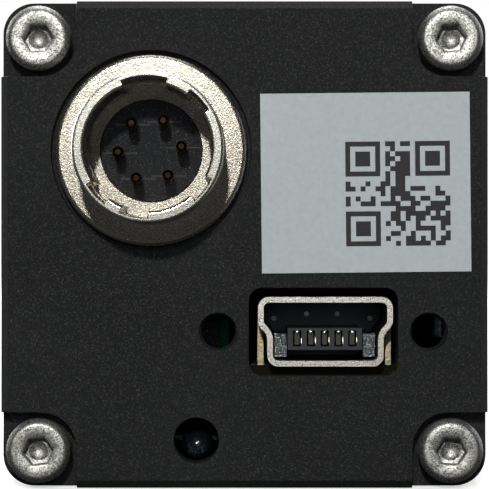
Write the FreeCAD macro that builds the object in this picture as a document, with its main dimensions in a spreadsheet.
import FreeCAD, Part
import math
import os
import Sketcher
from FreeCAD import Vector

# A compact machine vision camera: a 28 mm square anodised aluminium body with a C-mount for the
# lens in front and, behind, a screwed cover with a six-pin round connector, a small data port,
# two lock-screw holes and a status light.
#
# The frame: X to the right as seen from behind, +Y out of the lens mount along the optical axis,
# +Z up. The origin is the centre of the lens flange, so every depth below is measured back from
# the front face and lies at y = -depth.

doc = FreeCAD.newDocument("machine_vision_camera")
dims = doc.addObject("Spreadsheet::Sheet", "dims")

SIZES = {
    # the body, square around the lens mount's thread
    "mount_wall": 1.3,
    "housing_length": 40.0,
    "corner_round": 1.8,
    "edge_bevel": 0.45,
    "seam_bevel": 0.15,
    "side_wall": 1.2,
    "cover_depth": 5.0,
    "cover_face": 2.0,
    "slip_gap": 0.1,
    "thread_gap": 0.03,
    # the lens mount, one inch across its thread
    "lens_bore_radius": 12.7,
    "lens_bore_depth": 5.5,
    "lens_bore_bevel": 0.3,
    "filter_bore_radius": 11.0,
    "filter_bore_depth": 3.7,
    "aperture_radius": 8.0,
    "aperture_wall": 1.8,
    "filter_thickness": 1.0,
    "retainer_thickness": 1.6,
    "retainer_opening": 8.6,
    "retainer_slot_width": 1.2,
    "retainer_slot_depth": 0.7,
    # the tapped holes under the body
    "mount_hole_radius": 1.0,
    "mount_hole_depth": 3.0,
    "mount_hole_half_width": 11.0,
    "mount_hole_front": 6.0,
    "mount_hole_pitch": 18.0,
    # the corners that carry the cover's screws
    "screw_inset": 2.15,
    "post_side": 4.8,
    "post_round": 2.65,
    "notch_side": 4.35,
    "notch_round": 2.05,
    "notch_depth": 1.7,
    "screw_radius": 0.97,
    "screw_length": 8.0,
    "screw_head_radius": 1.85,
    "screw_head_height": 1.9,
    "screw_head_bevel": 0.28,
    "hex_key": 1.5,
    "hex_depth": 0.9,
    "cover_hole_gap": 0.15,
    # the round connector
    "io_side_inset": 8.64,
    "io_top_inset": 8.61,
    "counterbore_gap": 0.25,
    "counterbore_depth": 0.6,
    "flange_radius": 5.5,
    "flange_thickness": 1.0,
    "flange_bevel": 0.2,
    "barrel_radius": 4.23,
    "barrel_length": 4.8,
    "rim_round": 0.1,
    "land_radius": 3.55,
    "key_radius": 3.92,
    "socket_depth": 5.6,
    "io_insulator_radius": 2.9,
    "io_insulator_rise": 0.2,
    "io_thread_radius": 4.3,
    "io_thread_length": 6.0,
    "io_washer_radius": 5.4,
    "io_washer_thickness": 0.4,
    "io_nut_flats": 11.0,
    "io_nut_thickness": 1.8,
    "io_pin_circle": 1.8,
    "io_pin_radius": 0.31,
    "io_pin_rise": 2.4,
    "io_tail_length": 3.4,
    "io_tail_half": 0.2,
    # the data port
    "port_x": 4.65,
    "port_z": -5.01,
    "port_half_height": 2.0,
    "port_half_width": 3.875,
    "port_foot_half_width": 3.345,
    "port_shoulder": 0.42,
    "port_waist": -0.22,
    "port_round": 0.65,
    "port_wall": 0.33,
    "port_length": 9.0,
    "port_inset": 0.15,
    "port_offset": 0.12,
    "port_side_gap": 0.4,
    "port_height_gap": 0.515,
    "port_cut_round": 0.75,
    "port_leg_length": 1.8,
    "tongue_half_width": 2.15,
    "tongue_top": 0.16,
    "tongue_bottom": -1.1,
    "tongue_inset": 1.3,
    "tongue_length": 5.2,
    "tongue_cap": 0.14,
    "contact_pitch": 0.8,
    "contact_width": 0.28,
    "contact_thickness": 0.2,
    "contact_inset": 0.35,
    "contact_foot": 0.3,
    "spring_width": 0.7,
    "spring_height": 1.35,
    "lock_pitch": 12.1,
    "lock_radius": 1.08,
    # the status light
    "led_x": -2.77,
    "led_rise": 2.76,
    "led_hole_radius": 1.3,
    "led_drop": 0.4,
    "led_radius": 0.9,
    "led_length": 3.2,
    "led_lead_width": 0.4,
    "led_lead_reach": 1.0,
    "led_lead_pitch": 1.0,
    "led_inset": 1.7,
    # the label on the cover
    "label_gap": 0.56,
    "label_margin": 1.05,
    "label_z": 3.55,
    "label_height": 10.3,
    "label_thickness": 0.1,
    "label_turn": 0.6,
    # the boards and what they carry
    "board_thickness": 1.0,
    "board_front_gap": 3.0,
    "guide_width": 1.2,
    "guide_thickness": 0.9,
    "chip_height": 1.0,
    "processor_side": 6.0,
    "memory_width": 4.0,
    "memory_length": 6.0,
    "memory_place": 7.5,
    "crystal_width": 2.5,
    "crystal_length": 3.2,
    "crystal_place": 7.0,
    "plug_width": 11.0,
    "plug_height": 3.0,
    "plug_length": 2.0,
    "plug_reach": 0.9,
    "plug_wall": 0.7,
    "socket_length": 2.8,
    "io_board_thickness": 0.8,
    "io_board_gap": 1.6,
    "io_board_half_width": 4.4,
    "io_board_reach": 3.2,
    "io_header_width": 7.6,
    "io_header_height": 2.4,
    "io_header_length": 2.0,
    # the sensor, whose die stands at the C-mount's focal distance
    "focal_distance": 17.526,
    "sensor_board_side_gap": 0.4,
    "sensor_board_edge_gap": 0.5,
    "post_gap": 0.3,
    "package_half_width": 6.2,
    "package_half_height": 5.4,
    "package_wall": 1.1,
    "package_rim": 0.6,
    "package_height": 2.6,
    "die_thickness": 0.4,
    "die_half_width": 3.6,
    "die_half_height": 2.9,
    "cover_glass_thickness": 0.5,
    "cover_glass_margin": 0.3,
    "boss_inset": 0.8,
    "board_screw_radius": 0.78,
    "board_screw_length": 4.0,
    "board_screw_head_radius": 1.4,
    "board_screw_head_height": 0.9,
    "boss_radius": 1.45,
}

KEYWAYS = [(74, 112), (31, 53), (311, 333), (247, 270), (212, 233)]
PIN_START_ANGLE = 5
PIN_COUNT = 6
CONTACT_COUNT = 5
CORNERS = [(-1, 1), (1, 1), (-1, -1), (1, -1)]

for row, (name, size) in enumerate(SIZES.items(), start=1):
    dims.set(f"A{row}", name)
    dims.set(f"B{row}", str(size))
    dims.setAlias(f"B{row}", name)
doc.recompute()

# Places that several pieces share, as depths behind the lens flange.
HALF_SIDE = "(dims.lens_bore_radius + dims.mount_wall)"
PARTING = "(dims.housing_length - dims.cover_depth)"
COVER_INSIDE = "(dims.housing_length - dims.cover_face)"
FILTER_SEAT = "(dims.lens_bore_depth + dims.filter_bore_depth)"
CAVITY_FRONT = f"({FILTER_SEAT} + dims.aperture_wall)"
CAVITY_HALF = f"({HALF_SIDE} - dims.side_wall)"
IO_X = f"(dims.io_side_inset - {HALF_SIDE})"
IO_Z = f"({HALF_SIDE} - dims.io_top_inset)"
LED_Z = f"(dims.led_rise - {HALF_SIDE})"
COUNTERBORE = "(dims.flange_radius + dims.counterbore_gap)"
LABEL_LEFT = f"({IO_X} + {COUNTERBORE} + dims.label_gap)"
LABEL_RIGHT = f"({HALF_SIDE} - dims.label_margin)"
BOARD_SCREW = f"({HALF_SIDE} - dims.post_side - dims.boss_inset)"
SCREW_PLACE = f"({HALF_SIDE} - dims.screw_inset)"
SCREW_SEAT = "(dims.housing_length - dims.notch_depth)"
SCREW_TIP = f"({SCREW_SEAT} - dims.screw_length)"
FLANGE_SEAT = "(dims.housing_length - dims.counterbore_depth)"
FLANGE_FACE = f"({FLANGE_SEAT} + dims.flange_thickness)"
BARREL_RIM = f"({FLANGE_FACE} + dims.barrel_length)"
SOCKET_FLOOR = f"({BARREL_RIM} - dims.socket_depth)"
INSULATOR_FACE = f"({SOCKET_FLOOR} + dims.io_insulator_rise)"
PACKAGE_FLOOR = "(dims.focal_distance + dims.die_thickness)"
PACKAGE_FRONT = f"({PACKAGE_FLOOR} - dims.package_rim - dims.die_thickness)"
SENSOR_BOARD_FRONT = f"({PACKAGE_FRONT} + dims.package_height)"
SENSOR_BOARD_BACK = f"({SENSOR_BOARD_FRONT} + dims.board_thickness)"
PORT_MOUTH = "(dims.housing_length - dims.port_inset)"
PORT_BACK = f"({PORT_MOUTH} - dims.port_length)"
BOARD_TOP = "(dims.port_z - dims.port_half_height)"
BOARD_BOTTOM = f"({BOARD_TOP} - dims.board_thickness)"
BOARD_BACK = f"({COVER_INSIDE} - dims.slip_gap)"
BOARD_FRONT = f"({SENSOR_BOARD_BACK} + dims.board_front_gap)"
TONGUE_ROOT = f"({PORT_MOUTH} - dims.tongue_inset - dims.tongue_length)"
CONTACT_TOP = "(dims.tongue_top - dims.tongue_cap)"
CONTACT_LOW = "(dims.tongue_bottom + dims.contact_foot)"
SOCKET_FRONT = f"({SENSOR_BOARD_BACK} + dims.plug_length)"
IO_BOARD_FRONT = f"({FLANGE_SEAT} - dims.io_thread_length - dims.io_board_gap - dims.io_board_thickness)"
WINDOW_X = "(dims.port_x - dims.port_offset)"
LED_TIP = "(dims.housing_length - dims.led_inset)"
LED_BACK = f"({LED_TIP} - dims.led_length)"
LED_BEND = f"({LED_BACK} - dims.led_lead_reach)"
CHIP_ROW = f"(({BOARD_FRONT} + {LED_BEND}) / 2)"


def number(expression):
    """The value in millimetres (or degrees) of an expression of the sheet's dimensions."""
    return float(dims.evalExpression(expression))


def new_body(name):
    """An empty body whose name is also its label."""
    body = doc.addObject("PartDesign::Body", name)
    body.Label = name
    return body


def place(body, **lengths):
    """Bind the body's place to the sheet: x, y and z are expressions."""
    for axis, length in lengths.items():
        body.setExpression(f"Placement.Base.{axis}", length)


def new_sketch(body, plane, offset="0"):
    """A sketch on an origin plane of its body. On XZ_Plane the offset is a depth towards -Y."""
    sketch = body.newObject("Sketcher::SketchObject", f"{body.Name}_sketch")
    support = next(f for f in body.Origin.OriginFeatures if f.Role == plane)
    sketch.AttachmentSupport = (support, [""])
    sketch.MapMode = "FlatFace"
    sketch.setExpression("AttachmentOffset.Base.z", offset)
    return sketch


def pin_point(sketch, geometry, end, point):
    """Fix one point of the sketch at a pair of expressions."""
    for kind, length in zip(("DistanceX", "DistanceY"), point):
        rule = Sketcher.Constraint(kind, -1, 1, geometry, end, number(length))
        sketch.setExpression(f"Constraints[{sketch.addConstraint(rule)}]", length)


def outline(sketch, points):
    """A closed outline of straight lines through pairs of expressions."""
    corners = [Vector(number(across), number(up), 0) for across, up in points]
    first = sketch.GeometryCount
    for start, end in zip(corners, corners[1:] + corners[:1]):
        sketch.addGeometry(Part.LineSegment(start, end), False)
    for i, point in enumerate(points):
        following = first + (i + 1) % len(points)
        sketch.addConstraint(Sketcher.Constraint("Coincident", first + i, 2, following, 1))
        pin_point(sketch, first + i, 1, point)


def rectangle(sketch, left, low, right, high):
    """A rectangle between two pairs of expressions."""
    outline(sketch, [(left, low), (right, low), (right, high), (left, high)])


def square(sketch, half):
    """A square about the sketch's origin."""
    rectangle(sketch, f"-({half})", f"-({half})", half, half)


def circle(sketch, radius, centre=None):
    """A circle about the sketch's origin, or about a pair of expressions."""
    middle = Vector(0, 0, 0)
    if centre:
        middle = Vector(number(centre[0]), number(centre[1]), 0)
    index = sketch.addGeometry(Part.Circle(middle, Vector(0, 0, 1), number(radius)), False)
    rule = Sketcher.Constraint("Radius", index, number(radius))
    sketch.setExpression(f"Constraints[{sketch.addConstraint(rule)}]", radius)
    if centre:
        pin_point(sketch, index, 3, centre)
    else:
        sketch.addConstraint(Sketcher.Constraint("Coincident", index, 3, -1, 1))


def hexagon(sketch, flats, turn):
    """A regular hexagon about the origin, with a flat's normal at the given angle in degrees."""
    points = []
    for k in range(6):
        angle = turn + 30 + 60 * k
        reach = f"{flats} / 2 / cos(30 deg)"
        points.append((f"{reach} * cos({angle} deg)", f"{reach} * sin({angle} deg)"))
    outline(sketch, points)


def sector(sketch, radius, start, end):
    """A slice of a disc about the origin between two angles in degrees."""
    size = number(radius)
    ends = [Vector(size * math.cos(a), size * math.sin(a), 0) for a in map(math.radians, (start, end))]
    rim = Part.Circle(Vector(0, 0, 0), Vector(0, 0, 1), size)
    arc = sketch.addGeometry(Part.ArcOfCircle(rim, math.radians(start), math.radians(end)), False)
    lines = [sketch.addGeometry(Part.LineSegment(Vector(0, 0, 0), point), False) for point in ends]
    rule = Sketcher.Constraint("Radius", arc, size)
    sketch.setExpression(f"Constraints[{sketch.addConstraint(rule)}]", radius)
    sketch.addConstraint(Sketcher.Constraint("Coincident", arc, 3, -1, 1))
    for k, line in enumerate(lines):
        sketch.addConstraint(Sketcher.Constraint("Coincident", line, 1, -1, 1))
        sketch.addConstraint(Sketcher.Constraint("Coincident", line, 2, arc, k + 1))


def pad(body, sketch, length, midplane=False):
    """Grow a sketch by a length: towards -Y from an XZ sketch, evenly both ways with midplane."""
    feature = body.newObject("PartDesign::Pad", f"{body.Name}_pad")
    feature.Profile = sketch
    feature.Midplane = midplane
    feature.setExpression("Length", length)
    doc.recompute()
    return feature


def pocket(body, sketch, length, reverse=True):
    """Cut a sketch by a length: towards -Y from an XZ sketch, towards +Y unless reversed."""
    before = body.Shape.Volume
    feature = body.newObject("PartDesign::Pocket", f"{body.Name}_pocket")
    feature.Profile = sketch
    feature.Reversed = reverse
    feature.setExpression("Length", length)
    doc.recompute()
    if body.Shape.Volume >= before:
        raise RuntimeError(f"a pocket of {body.Name} cuts nothing")
    return feature


def revolve(body, points, cut=False):
    """Turn an outline of (radius, depth) pairs about the body's own Y axis, or groove with it."""
    sketch = new_sketch(body, "XY_Plane")
    outline(sketch, [(radius, f"-({depth})") for radius, depth in points])
    kind = "PartDesign::Groove" if cut else "PartDesign::Revolution"
    feature = body.newObject(kind, f"{body.Name}_turned")
    feature.Profile = sketch
    feature.ReferenceAxis = (sketch, ["V_Axis"])
    feature.Angle = 360
    doc.recompute()
    return feature


def edges_where(shape, test):
    """The names of a shape's edges whose two end points pass the test."""
    found = []
    for k, edge in enumerate(shape.Edges, start=1):
        ends = [vertex.Point for vertex in edge.Vertexes]
        if len(ends) == 2 and test(*ends):
            found.append(f"Edge{k}")
    return found


def along_depth(test):
    """A test for straight edges that run along Y at an (x, z) that passes the test."""
    def passes(a, b):
        level = abs(a.x - b.x) < 1e-5 and abs(a.z - b.z) < 1e-5
        return level and test(a.x, a.z)
    return passes


def soften(body, base, edges, size, kind="Fillet"):
    """Round or bevel edges of the body's last feature by a size of the sheet."""
    feature = body.newObject(f"PartDesign::{kind}", f"{body.Name}_{kind.lower()}")
    feature.Base = (base, edges)
    feature.setExpression("Radius" if kind == "Fillet" else "Size", size)
    doc.recompute()
    return feature


def outer_edges(shape, depth):
    """The names of the edges round the housing's outline at a depth."""
    rim = number(HALF_SIDE) - 1e-4
    def on_rim(a, b):
        level = abs(a.y + depth) < 1e-5 and abs(b.y + depth) < 1e-5
        return level and all(max(abs(p.x), abs(p.z)) > rim for p in (a, b))
    return edges_where(shape, on_rim)


def square_block(body, near, far):
    """A block of the housing's square section between two depths, its four edges rounded."""
    sketch = new_sketch(body, "XZ_Plane", near)
    square(sketch, HALF_SIDE)
    block = pad(body, sketch, f"{far} - {near}")
    edges = edges_where(block.Shape, along_depth(lambda x, z: True))
    return soften(body, block, edges, "dims.corner_round")


def hollow(body, near, far, wall):
    """Clear the square inside between two depths, leaving a post in each corner."""
    sketch = new_sketch(body, "XZ_Plane", near)
    inner = f"({HALF_SIDE} - {wall})"
    post = f"({HALF_SIDE} - dims.post_side)"
    outline(sketch, [
        (f"-{post}", f"-{inner}"), (post, f"-{inner}"), (post, f"-{post}"), (inner, f"-{post}"),
        (inner, post), (post, post), (post, inner), (f"-{post}", inner),
        (f"-{post}", post), (f"-{inner}", post), (f"-{inner}", f"-{post}"), (f"-{post}", f"-{post}"),
    ])
    room = pocket(body, sketch, f"{far} - {near}")
    place_of_post = number(post)
    depth = -number(near) - 0.01
    def at_post(x, z):
        return abs(abs(x) - place_of_post) < 1e-4 and abs(abs(z) - place_of_post) < 1e-4
    edges = edges_where(room.Shape, lambda a, b: along_depth(at_post)(a, b) and min(a.y, b.y) < depth)
    return soften(body, room, edges, "dims.post_round")


def main_housing():
    """The milled body: the lens mount in front, and a room for the boards that opens behind."""
    body = new_body("main_housing")
    block = square_block(body, "0", PARTING)
    front = soften(body, block, outer_edges(block.Shape, 0), "dims.edge_bevel", "Chamfer")
    seam = outer_edges(front.Shape, number(PARTING))
    soften(body, front, seam, "dims.seam_bevel", "Chamfer")
    bevel = "dims.lens_bore_bevel"
    revolve(body, [
        ("0", "-1"), (f"dims.lens_bore_radius + {bevel}", "-1"),
        (f"dims.lens_bore_radius + {bevel}", "0"), ("dims.lens_bore_radius", bevel),
        ("dims.lens_bore_radius", "dims.lens_bore_depth"),
        ("dims.filter_bore_radius", "dims.lens_bore_depth"),
        ("dims.filter_bore_radius", FILTER_SEAT), ("dims.aperture_radius", FILTER_SEAT),
        ("dims.aperture_radius", f"{CAVITY_FRONT} + 0.5"), ("0", f"{CAVITY_FRONT} + 0.5"),
    ], cut=True)
    hollow(body, CAVITY_FRONT, PARTING, "dims.side_wall")

    # Four bosses carry the sensor board, and two pairs of rails guide the main board.
    bosses = new_sketch(body, "XZ_Plane", CAVITY_FRONT)
    for across, up in CORNERS:
        circle(bosses, "dims.boss_radius", (f"{across} * {BOARD_SCREW}", f"{up} * {BOARD_SCREW}"))
    pad(body, bosses, f"{SENSOR_BOARD_FRONT} - {CAVITY_FRONT}")
    rails = new_sketch(body, "XZ_Plane", f"{SENSOR_BOARD_BACK} + dims.slip_gap")
    rail_edge = f"({CAVITY_HALF} - dims.guide_width)"
    for side in (-1, 1):
        wall = f"{side} * ({CAVITY_HALF} + dims.slip_gap)"
        edge = f"{side} * {rail_edge}"
        inner, outer = (wall, edge) if side < 0 else (edge, wall)
        low = f"{BOARD_BOTTOM} - dims.guide_thickness"
        rectangle(rails, inner, low, outer, BOARD_BOTTOM)
        high = f"({BOARD_TOP} + dims.slip_gap)"
        rectangle(rails, inner, high, outer, f"{high} + dims.guide_thickness")
    pad(body, rails, f"{PARTING} - {SENSOR_BOARD_BACK} - dims.slip_gap")

    # Tapped holes: the sensor board's, the cover's and the four under the body.
    board_taps = new_sketch(body, "XZ_Plane", f"{SENSOR_BOARD_FRONT} - dims.board_screw_length")
    for across, up in CORNERS:
        centre = (f"{across} * {BOARD_SCREW}", f"{up} * {BOARD_SCREW}")
        circle(board_taps, "dims.board_screw_radius + dims.thread_gap", centre)
    pocket(body, board_taps, "dims.board_screw_length + dims.slip_gap")
    cover_taps = new_sketch(body, "XZ_Plane", f"{SCREW_TIP} - dims.slip_gap")
    for across, up in CORNERS:
        centre = (f"{across} * {SCREW_PLACE}", f"{up} * {SCREW_PLACE}")
        circle(cover_taps, "dims.screw_radius + dims.thread_gap", centre)
    pocket(body, cover_taps, f"{PARTING} - {SCREW_TIP} + 2 * dims.slip_gap")
    feet = new_sketch(body, "XY_Plane", f"-{HALF_SIDE}")
    for across in (-1, 1):
        for row in (0, 1):
            centre = (f"{across} * dims.mount_hole_half_width",
                      f"-(dims.mount_hole_front + {row} * dims.mount_hole_pitch)")
            circle(feet, "dims.mount_hole_radius", centre)
    pocket(body, feet, "dims.mount_hole_depth")
    return body


def rear_cover():
    """The cover: a tray with corner lugs, recessed corners and cut-outs for what it carries."""
    body = new_body("rear_cover")
    block = square_block(body, PARTING, "dims.housing_length")
    rim = outer_edges(block.Shape, number("dims.housing_length"))
    rear = soften(body, block, rim, "dims.edge_bevel", "Chamfer")
    soften(body, rear, outer_edges(rear.Shape, number(PARTING)), "dims.seam_bevel", "Chamfer")
    hollow(body, PARTING, COVER_INSIDE, "dims.side_wall")

    # A square recess in each corner takes a screw's head, its inner corner round about the head.
    recess = new_sketch(body, "XZ_Plane", SCREW_SEAT)
    near = f"({HALF_SIDE} - dims.notch_side)"
    far = f"({HALF_SIDE} + 1)"
    for across, up in CORNERS:
        left, right = (near, far) if across > 0 else (f"-{far}", f"-{near}")
        low, high = (near, far) if up > 0 else (f"-{far}", f"-{near}")
        rectangle(recess, left, low, right, high)
    notches = pocket(body, recess, "dims.notch_depth + 1")
    corner = number(near)
    at_corner = along_depth(lambda x, z: abs(abs(x) - corner) < 1e-4 and abs(abs(z) - corner) < 1e-4)
    soften(body, notches, edges_where(notches.Shape, at_corner), "dims.notch_round")
    holes = new_sketch(body, "XZ_Plane", f"{PARTING} - 1")
    for across, up in CORNERS:
        centre = (f"{across} * {SCREW_PLACE}", f"{up} * {SCREW_PLACE}")
        circle(holes, "dims.screw_radius + dims.cover_hole_gap", centre)
    pocket(body, holes, "dims.cover_depth + 2")

    # The round connector's hole and the shallow seat of its flange.
    io_place = (IO_X, IO_Z)
    seat = new_sketch(body, "XZ_Plane", FLANGE_SEAT)
    circle(seat, COUNTERBORE, io_place)
    pocket(body, seat, "dims.counterbore_depth + 1")
    through = new_sketch(body, "XZ_Plane", f"{COVER_INSIDE} - 1")
    circle(through, "dims.io_thread_radius + dims.slip_gap", io_place)
    pocket(body, through, "dims.cover_face + 2")

    # The window of the data port, then its two lock-screw holes and the status light's hole.
    window = new_sketch(body, "XZ_Plane", f"{COVER_INSIDE} - 1")
    half_width = "(dims.port_half_width + dims.port_side_gap)"
    half_height = "(dims.port_half_height + dims.port_height_gap)"
    rectangle(window, f"{WINDOW_X} - {half_width}", f"dims.port_z - {half_height}",
              f"{WINDOW_X} + {half_width}", f"dims.port_z + {half_height}")
    cut = pocket(body, window, "dims.cover_face + 2")
    middle = (number(WINDOW_X), number("dims.port_z"))
    reach = (number(half_width), number(half_height))
    def at_window(x, z):
        return abs(abs(x - middle[0]) - reach[0]) < 1e-4 and abs(abs(z - middle[1]) - reach[1]) < 1e-4
    soften(body, cut, edges_where(cut.Shape, along_depth(at_window)), "dims.port_cut_round")
    small = new_sketch(body, "XZ_Plane", f"{COVER_INSIDE} - 1")
    for side in (-1, 1):
        circle(small, "dims.lock_radius", (f"{WINDOW_X} + {side} * dims.lock_pitch / 2", "dims.port_z"))
    circle(small, "dims.led_hole_radius", ("dims.led_x", LED_Z))
    pocket(body, small, "dims.cover_face + 2")
    return body


def socket_screw(name, across, up):
    """A cap screw with a bevelled head and a hexagon socket, seated in a corner of the cover."""
    body = new_body(name)
    bevel = "dims.screw_head_bevel"
    rise = "dims.screw_head_height"
    revolve(body, [
        ("0", f"{SCREW_SEAT} + {rise}"), (f"dims.screw_head_radius - {bevel}", f"{SCREW_SEAT} + {rise}"),
        ("dims.screw_head_radius", f"{SCREW_SEAT} + {rise} - {bevel}"),
        ("dims.screw_head_radius", SCREW_SEAT), ("dims.screw_radius", SCREW_SEAT),
        ("dims.screw_radius", SCREW_TIP), ("0", SCREW_TIP),
    ])
    key = new_sketch(body, "XZ_Plane", f"{SCREW_SEAT} + {rise} - dims.hex_depth")
    hexagon(key, "dims.hex_key", 30)
    pocket(body, key, "dims.hex_depth + 1")
    place(body, x=f"{across} * {SCREW_PLACE}", z=f"{up} * {SCREW_PLACE}")
    return body


def io_shell():
    """The round connector's turned shell: flange, rimmed barrel with keyways, threaded neck."""
    body = new_body("io_shell")
    tail = f"({FLANGE_SEAT} - dims.io_thread_length)"
    soft = "dims.rim_round"
    revolve(body, [
        ("dims.land_radius", SOCKET_FLOOR), ("dims.land_radius", f"{BARREL_RIM} - {soft}"),
        (f"dims.land_radius + {soft}", BARREL_RIM), (f"dims.barrel_radius - {soft}", BARREL_RIM),
        ("dims.barrel_radius", f"{BARREL_RIM} - {soft}"), ("dims.barrel_radius", FLANGE_FACE),
        ("dims.flange_radius - dims.flange_bevel", FLANGE_FACE),
        ("dims.flange_radius", f"{FLANGE_FACE} - dims.flange_bevel"),
        ("dims.flange_radius", FLANGE_SEAT),
        ("dims.io_thread_radius", FLANGE_SEAT), ("dims.io_thread_radius", tail),
        ("dims.io_insulator_radius", tail), ("dims.io_insulator_radius", SOCKET_FLOOR),
    ])
    for start, end in KEYWAYS:
        key = new_sketch(body, "XZ_Plane", SOCKET_FLOOR)
        sector(key, "dims.key_radius", start, end)
        pocket(body, key, "dims.socket_depth + 1")
    place(body, x=IO_X, z=IO_Z)
    return body


def io_insulator():
    """The moulded disc that holds the round connector's pins."""
    body = new_body("io_insulator")
    disc = new_sketch(body, "XZ_Plane", f"{FLANGE_SEAT} - dims.io_thread_length")
    circle(disc, "dims.io_insulator_radius")
    pad(body, disc, f"{INSULATOR_FACE} - {FLANGE_SEAT} + dims.io_thread_length")
    holes = new_sketch(body, "XZ_Plane", f"{FLANGE_SEAT} - dims.io_thread_length - 1")
    pin_squares(holes)
    pocket(body, holes, f"{INSULATOR_FACE} - {FLANGE_SEAT} + dims.io_thread_length + 2")
    place(body, x=IO_X, z=IO_Z)
    return body


def pin_centre(k):
    """Where pin number k stands on the pin circle, about the connector's axis."""
    angle = PIN_START_ANGLE + 360 / PIN_COUNT * k
    return f"dims.io_pin_circle * cos({angle} deg)", f"dims.io_pin_circle * sin({angle} deg)"


def pin_squares(sketch):
    """The square sections of all the pins' tails, about the connector's axis."""
    half = "dims.io_tail_half"
    for k in range(PIN_COUNT):
        across, up = pin_centre(k)
        rectangle(sketch, f"{across} - {half}", f"{up} - {half}", f"{across} + {half}", f"{up} + {half}")


def io_pin(k):
    """One male contact: a round tip, and a square tail through the insulator and the board."""
    body = new_body(f"io_pin_{k + 1}")
    tip = f"({INSULATOR_FACE} + dims.io_pin_rise)"
    radius = "dims.io_pin_radius"
    revolve(body, [
        ("0", tip), (f"{radius} / 2", tip), (radius, f"{tip} - {radius} / 2"),
        (radius, INSULATOR_FACE), ("0", INSULATOR_FACE),
    ])
    end = f"({FLANGE_SEAT} - dims.io_thread_length - dims.io_tail_length)"
    tail = new_sketch(body, "XZ_Plane", end)
    square(tail, "dims.io_tail_half")
    pad(body, tail, f"{INSULATOR_FACE} - {end}")
    across, up = pin_centre(k)
    place(body, x=f"{IO_X} + {across}", z=f"{IO_Z} + {up}")
    return body


def io_washer():
    """The washer between the cover's inner face and the nut."""
    body = new_body("io_washer")
    ring = new_sketch(body, "XZ_Plane", f"{COVER_INSIDE} - dims.io_washer_thickness")
    circle(ring, "dims.io_washer_radius")
    circle(ring, "dims.io_thread_radius + dims.slip_gap")
    pad(body, ring, "dims.io_washer_thickness")
    place(body, x=IO_X, z=IO_Z)
    return body


def io_nut():
    """The hexagon nut that clamps the round connector, one flat turned to the corner post."""
    body = new_body("io_nut")
    far = f"{COVER_INSIDE} - dims.io_washer_thickness - dims.io_nut_thickness"
    plate = new_sketch(body, "XZ_Plane", far)
    hexagon(plate, "dims.io_nut_flats", 135)
    circle(plate, "dims.io_thread_radius + dims.thread_gap")
    pad(body, plate, "dims.io_nut_thickness")
    place(body, x=IO_X, z=IO_Z)
    return body


def port_outline(sketch, inset):
    """The data port's section about its own centre: wide above, drawn in below."""
    top = f"(dims.port_half_height - {inset})"
    wide = f"(dims.port_half_width - {inset})"
    foot = f"(dims.port_foot_half_width - {inset})"
    shoulder = f"(dims.port_shoulder + 0.4 * {inset})"
    waist = f"(dims.port_waist + 0.4 * {inset})"
    outline(sketch, [
        (f"-{foot}", f"-{top}"), (foot, f"-{top}"), (foot, waist), (wide, shoulder),
        (wide, top), (f"-{wide}", top), (f"-{wide}", shoulder), (f"-{foot}", waist),
    ])


def usb_shell():
    """The data port's folded shell, with four legs that stand on the board."""
    body = new_body("usb_shell")
    skin = new_sketch(body, "XZ_Plane", PORT_BACK)
    port_outline(skin, "0")
    solid = pad(body, skin, "dims.port_length")
    rounded = soften(body, solid, edges_where(solid.Shape, along_depth(lambda x, z: True)),
                     "dims.port_round")
    thin = body.newObject("PartDesign::Thickness", "usb_shell_fold")
    ends = [k for k, face in enumerate(rounded.Shape.Faces, 1) if abs(face.normalAt(0, 0).y) > 0.99]
    thin.Base = (rounded, [f"Face{k}" for k in ends])
    thin.Reversed = True
    thin.setExpression("Value", "dims.port_wall")
    doc.recompute()
    inner = "(dims.port_half_width - dims.port_wall)"
    outer = "dims.port_half_width"
    low = "-dims.port_half_height"
    high = "dims.port_half_height / 2"
    for start in (f"{BOARD_BACK} - dims.port_leg_length - dims.slip_gap", f"{PORT_BACK} + 0.6"):
        legs = new_sketch(body, "XZ_Plane", start)
        rectangle(legs, inner, low, outer, high)
        rectangle(legs, f"-{outer}", low, f"-{inner}", high)
        pad(body, legs, "dims.port_leg_length")
    place(body, x="dims.port_x", z="dims.port_z")
    return body


def usb_insulator():
    """The data port's moulding: a plug in the back of the shell and the slotted tongue."""
    body = new_body("usb_insulator")
    base = new_sketch(body, "XZ_Plane", PORT_BACK)
    port_outline(base, "(dims.port_wall + dims.slip_gap / 2)")
    block = pad(body, base, f"{TONGUE_ROOT} - {PORT_BACK}")
    soften(body, block, edges_where(block.Shape, along_depth(lambda x, z: True)),
           "dims.port_round - dims.port_wall")
    tongue = new_sketch(body, "XZ_Plane", TONGUE_ROOT)
    rectangle(tongue, "-dims.tongue_half_width", "dims.tongue_bottom", "dims.tongue_half_width",
              "dims.tongue_top")
    pad(body, tongue, "dims.tongue_length")
    channels = new_sketch(body, "XZ_Plane", f"{PORT_BACK} - 1")
    slots = new_sketch(body, "XZ_Plane", TONGUE_ROOT)
    for k in range(CONTACT_COUNT):
        left, right = contact_sides(k, "0")
        rectangle(channels, left, f"{CONTACT_TOP} - dims.contact_thickness", right, CONTACT_TOP)
        left, right = contact_sides(k, "dims.slip_gap")
        rectangle(slots, left, f"{CONTACT_LOW} - dims.slip_gap", right, CONTACT_TOP)
    pocket(body, channels, f"{TONGUE_ROOT} - {PORT_BACK} + 1")
    pocket(body, slots, "dims.tongue_length + 1")
    place(body, x="dims.port_x", z="dims.port_z")
    return body


def contact_sides(k, gap):
    """The left and right sides of contact number k, spread by a gap, about the port's centre."""
    centre = f"{k - (CONTACT_COUNT - 1) / 2} * dims.contact_pitch"
    return (f"{centre} - dims.contact_width / 2 - {gap}", f"{centre} + dims.contact_width / 2 + {gap}")


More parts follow.
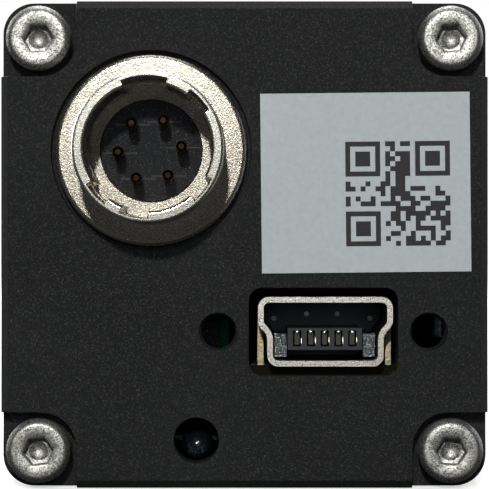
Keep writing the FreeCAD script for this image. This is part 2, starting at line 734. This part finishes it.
def flat_strip(name, points, width):
    """A strip bent in the YZ plane, drawn as (depth, height) pairs, of an even width along X."""
    body = new_body(name)
    side = new_sketch(body, "YZ_Plane")
    outline(side, [(f"-({depth})", height) for depth, height in points])
    pad(body, side, width, midplane=True)
    return body


def usb_contact(k):
    """One stamped contact: hooked at the front, through the moulding, down to the board."""
    front = f"({TONGUE_ROOT} + dims.tongue_length - dims.contact_inset)"
    thick = "dims.contact_thickness"
    riser = f"({PORT_BACK} - dims.slip_gap - {thick})"
    low = "-dims.port_half_height"
    body = flat_strip(f"usb_contact_{k + 1}", [
        (front, CONTACT_TOP), (riser, CONTACT_TOP), (riser, f"{low} + {thick}"),
        (f"{riser} - 0.8", f"{low} + {thick}"), (f"{riser} - 0.8", low), (f"{riser} + {thick}", low),
        (f"{riser} + {thick}", f"{CONTACT_TOP} - {thick}"),
        (f"{front} - {thick}", f"{CONTACT_TOP} - {thick}"),
        (f"{front} - {thick}", CONTACT_LOW), (front, CONTACT_LOW),
    ], "dims.contact_width")
    pitch = f"{k - (CONTACT_COUNT - 1) / 2} * dims.contact_pitch"
    place(body, x=f"dims.port_x + {pitch}", z="dims.port_z")
    return body


def usb_side_spring(number_of_side, side):
    """A folded spring beside the tongue that grips the plug's shell."""
    body = new_body(f"usb_side_spring_{number_of_side}")
    face = new_sketch(body, "XZ_Plane", TONGUE_ROOT)
    outer = "(dims.port_foot_half_width - dims.port_wall - dims.slip_gap)"
    inner = f"({outer} - dims.spring_width)"
    left, right = (f"-{outer}", f"-{inner}") if side < 0 else (inner, outer)
    low = "-(dims.port_half_height - dims.port_wall - 1.5 * dims.slip_gap)"
    rectangle(face, left, low, right, f"{low} + dims.spring_height")
    pad(body, face, "dims.tongue_length - dims.contact_inset")
    place(body, x="dims.port_x", z="dims.port_z")
    return body


def status_led():
    """The clear round-nosed light behind its hole."""
    body = new_body("status_led")
    radius = "dims.led_radius"
    nose = [("0", LED_TIP)]
    for angle in (30, 60):
        reach = f"{radius} * sin({angle} deg)"
        nose.append((reach, f"{LED_TIP} - {radius} * (1 - cos({angle} deg))"))
    revolve(body, nose + [(radius, f"{LED_TIP} - {radius}"), (radius, LED_BACK), ("0", LED_BACK)])
    place(body, x="dims.led_x", z=f"{LED_Z} - dims.led_drop")
    return body


def led_lead(number_of_side, side):
    """One square lead, bent up from the light to the underside of the main board."""
    thick = "dims.led_lead_width"
    top = f"({BOARD_BOTTOM} - {LED_Z} + dims.led_drop)"
    body = flat_strip(f"led_lead_{number_of_side}", [
        (LED_BACK, f"-{thick} / 2"), (LED_BEND, f"-{thick} / 2"), (LED_BEND, top),
        (f"{LED_BEND} + {thick}", top), (f"{LED_BEND} + {thick}", f"{thick} / 2"),
        (LED_BACK, f"{thick} / 2"),
    ], thick)
    place(body, x=f"dims.led_x + {side} * dims.led_lead_pitch / 2", z=f"{LED_Z} - dims.led_drop")
    return body


def label():
    """The thin label on the cover's face, a little askew."""
    body = new_body("label")
    sheet = new_sketch(body, "XZ_Plane", "dims.housing_length")
    half_width = f"({LABEL_RIGHT} - {LABEL_LEFT}) / 2"
    rectangle(sheet, f"-{half_width}", "-dims.label_height / 2", half_width, "dims.label_height / 2")
    pad(body, sheet, "dims.label_thickness")
    askew = FreeCAD.Rotation(Vector(0, -1, 0), number("dims.label_turn"))
    body.Placement = FreeCAD.Placement(Vector(0, 0, 0), askew)
    place(body, x=f"({LABEL_LEFT} + {LABEL_RIGHT}) / 2", z="dims.label_z")
    return body


def slab(name, near, length, left, low, right, high):
    """A plain block from a depth, of a length towards -Y, between two pairs of expressions."""
    body = new_body(name)
    face = new_sketch(body, "XZ_Plane", near)
    rectangle(face, left, low, right, high)
    pad(body, face, length)
    return body


def main_board():
    """The board that lies in the housing's rails and carries both connectors."""
    half = f"({CAVITY_HALF} - 2 * dims.slip_gap)"
    return slab("main_board", BOARD_FRONT, f"{BOARD_BACK} - {BOARD_FRONT}", f"-{half}", BOARD_BOTTOM,
                half, BOARD_TOP)


def chip(name, middle, depth, width, length):
    """A packaged chip soldered under the main board, its middle at an x and a depth."""
    return slab(name, f"{depth} - {length} / 2", length, f"{middle} - {width} / 2",
                f"{BOARD_BOTTOM} - dims.chip_height", f"{middle} + {width} / 2", BOARD_BOTTOM)


def board_plug():
    """The sensor board's connector, whose nose enters the main board's socket."""
    half = "dims.plug_width / 2"
    high = f"{BOARD_TOP} + dims.plug_height"
    body = slab("board_plug", SENSOR_BOARD_BACK, "dims.plug_length", f"-{half}", BOARD_TOP, half, high)
    nose = new_sketch(body, "XZ_Plane", SOCKET_FRONT)
    rim = "(dims.plug_wall + dims.slip_gap)"
    rectangle(nose, f"-({half} - {rim})", f"{BOARD_TOP} + {rim}", f"{half} - {rim}", f"{high} - {rim}")
    pad(body, nose, "dims.plug_reach")
    return body


def board_socket():
    """The main board's connector for the sensor board's plug."""
    half = "dims.plug_width / 2"
    high = f"{BOARD_TOP} + dims.plug_height"
    body = slab("board_socket", SOCKET_FRONT, "dims.socket_length", f"-{half}", BOARD_TOP, half, high)
    mouth = new_sketch(body, "XZ_Plane", SOCKET_FRONT)
    rim = "dims.plug_wall"
    rectangle(mouth, f"-({half} - {rim})", f"{BOARD_TOP} + {rim}", f"{half} - {rim}", f"{high} - {rim}")
    pocket(body, mouth, "dims.plug_reach + dims.slip_gap")
    return body


def io_board():
    """The small upright board that the round connector's pins are soldered into."""
    half = "dims.io_board_half_width"
    body = slab("io_board", IO_BOARD_FRONT, "dims.io_board_thickness", f"-{half}",
                f"{BOARD_TOP} - {IO_Z}", half, "dims.io_board_reach")
    holes = new_sketch(body, "XZ_Plane", f"{IO_BOARD_FRONT} - 1")
    pin_squares(holes)
    pocket(body, holes, "dims.io_board_thickness + 2")
    place(body, x=IO_X, z=IO_Z)
    return body


def io_header():
    """The right-angle header behind the upright board that joins it to the main board."""
    half = "dims.io_header_width / 2"
    back = f"{IO_BOARD_FRONT} + dims.io_board_thickness"
    return slab("io_header", back, "dims.io_header_length",
                f"{IO_X} - {half}", BOARD_TOP, f"{IO_X} + {half}",
                f"{BOARD_TOP} + dims.io_header_height")


def sensor_board():
    """The board behind the sensor, notched for the corner posts and narrow between the rails."""
    edge = f"({CAVITY_HALF} - dims.sensor_board_edge_gap)"
    body = slab("sensor_board", SENSOR_BOARD_FRONT, "dims.board_thickness", f"-{edge}", f"-{edge}",
                edge, edge)
    near = f"({HALF_SIDE} - dims.post_side - dims.post_gap)"
    corners = new_sketch(body, "XZ_Plane", f"{SENSOR_BOARD_FRONT} - 1")
    for across, up in CORNERS:
        left, right = (near, HALF_SIDE) if across > 0 else (f"-{HALF_SIDE}", f"-{near}")
        low, high = (near, HALF_SIDE) if up > 0 else (f"-{HALF_SIDE}", f"-{near}")
        rectangle(corners, left, low, right, high)
    notches = pocket(body, corners, "dims.board_thickness + 2")
    corner = number(near)
    at_corner = along_depth(lambda x, z: abs(abs(x) - corner) < 1e-4 and abs(abs(z) - corner) < 1e-4)
    soften(body, notches, edges_where(notches.Shape, at_corner), "dims.post_round + dims.post_gap")
    sides = new_sketch(body, "XZ_Plane", f"{SENSOR_BOARD_FRONT} - 1")
    trim = f"({CAVITY_HALF} - dims.guide_width - dims.sensor_board_side_gap)"
    rectangle(sides, trim, f"-{HALF_SIDE}", HALF_SIDE, HALF_SIDE)
    rectangle(sides, f"-{HALF_SIDE}", f"-{HALF_SIDE}", f"-{trim}", HALF_SIDE)
    pocket(body, sides, "dims.board_thickness + 2")
    holes = new_sketch(body, "XZ_Plane", f"{SENSOR_BOARD_FRONT} - 1")
    for across, up in CORNERS:
        centre = (f"{across} * {BOARD_SCREW}", f"{up} * {BOARD_SCREW}")
        circle(holes, "dims.board_screw_radius + dims.slip_gap", centre)
    pocket(body, holes, "dims.board_thickness + 2")
    return body


def sensor_board_screw(k, across, up):
    """A small screw that holds the sensor board to its boss."""
    body = new_body(f"sensor_board_screw_{k}")
    tip = f"({SENSOR_BOARD_BACK} - dims.board_screw_length)"
    head = f"({SENSOR_BOARD_BACK} + dims.board_screw_head_height)"
    revolve(body, [
        ("0", head), ("dims.board_screw_head_radius", head),
        ("dims.board_screw_head_radius", SENSOR_BOARD_BACK),
        ("dims.board_screw_radius", SENSOR_BOARD_BACK), ("dims.board_screw_radius", tip), ("0", tip),
    ])
    place(body, x=f"{across} * {BOARD_SCREW}", z=f"{up} * {BOARD_SCREW}")
    return body


def sensor_package():
    """The sensor's ceramic tray, open in front."""
    half = ("dims.package_half_width", "dims.package_half_height")
    body = slab("sensor_package", PACKAGE_FRONT, "dims.package_height", f"-{half[0]}", f"-{half[1]}",
                half[0], half[1])
    well = new_sketch(body, "XZ_Plane", f"{PACKAGE_FRONT} - 1")
    inner = [f"({reach} - dims.package_wall)" for reach in half]
    rectangle(well, f"-{inner[0]}", f"-{inner[1]}", inner[0], inner[1])
    pocket(body, well, f"{PACKAGE_FLOOR} - {PACKAGE_FRONT} + 1")
    return body


def sensor_die():
    """The image sensor itself, its face at the mount's focal distance."""
    half = ("dims.die_half_width", "dims.die_half_height")
    return slab("sensor_die", "dims.focal_distance", "dims.die_thickness", f"-{half[0]}",
                f"-{half[1]}", half[0], half[1])


def sensor_glass():
    """The cover glass bonded to the rim of the sensor's tray."""
    half = [f"(dims.package_half_{way} - dims.cover_glass_margin)" for way in ("width", "height")]
    return slab("sensor_glass", f"{PACKAGE_FRONT} - dims.cover_glass_thickness",
                "dims.cover_glass_thickness", f"-{half[0]}", f"-{half[1]}", half[0], half[1])


def ir_filter():
    """The round filter glass on its seat behind the lens mount."""
    body = new_body("ir_filter")
    disc = new_sketch(body, "XZ_Plane", f"{FILTER_SEAT} - dims.filter_thickness")
    circle(disc, "dims.filter_bore_radius - dims.slip_gap")
    pad(body, disc, "dims.filter_thickness")
    return body


def filter_retainer():
    """The threaded ring that clamps the filter, with two slots for its key."""
    body = new_body("filter_retainer")
    face = f"({FILTER_SEAT} - dims.filter_thickness - dims.retainer_thickness)"
    ring = new_sketch(body, "XZ_Plane", face)
    circle(ring, "dims.filter_bore_radius - dims.thread_gap")
    circle(ring, "dims.retainer_opening")
    pad(body, ring, "dims.retainer_thickness")
    slots = new_sketch(body, "XZ_Plane", f"{face} - 1")
    across = "dims.retainer_slot_width / 2"
    rectangle(slots, f"-{across}", "-dims.filter_bore_radius", across, "dims.filter_bore_radius")
    pocket(body, slots, "dims.retainer_slot_depth + 1")
    return body


bodies = [main_housing(), rear_cover()]
bodies += [socket_screw(f"rear_screw_{k}", *corner) for k, corner in enumerate(CORNERS, start=1)]
bodies += [io_shell(), io_insulator(), io_washer(), io_nut()]
bodies += [io_pin(k) for k in range(PIN_COUNT)]
bodies += [usb_shell(), usb_insulator()]
bodies += [usb_contact(k) for k in range(CONTACT_COUNT)]
bodies += [usb_side_spring(1, -1), usb_side_spring(2, 1)]
bodies += [status_led(), led_lead(1, -1), led_lead(2, 1), label()]
bodies += [main_board(), board_plug(), board_socket(), io_board(), io_header()]
bodies.append(chip("processor_chip", "0", CHIP_ROW, "dims.processor_side", "dims.processor_side"))
bodies.append(chip("memory_chip", "dims.memory_place", CHIP_ROW, "dims.memory_width",
                   "dims.memory_length"))
bodies.append(chip("crystal_oscillator", "-dims.crystal_place", CHIP_ROW, "dims.crystal_width",
                   "dims.crystal_length"))
bodies += [sensor_board(), sensor_package(), sensor_die(), sensor_glass()]
bodies += [sensor_board_screw(k, *corner) for k, corner in enumerate(CORNERS, start=1)]
bodies += [ir_filter(), filter_retainer()]
doc.recompute()

for item in doc.Objects:
    if {"Invalid", "Error"} & set(item.State):
        raise RuntimeError(f"{item.Name} failed: {item.State}")
for body in bodies:
    shape = body.Shape
    if shape.isNull() or not shape.isValid() or len(shape.Solids) != 1:
        raise RuntimeError(f"{body.Label} is not one valid solid")

os.makedirs("parts", exist_ok=True)
for body in bodies:
    body.Shape.exportStep(f"parts/{body.Label}.step")
print(f"{len(bodies)} parts written")
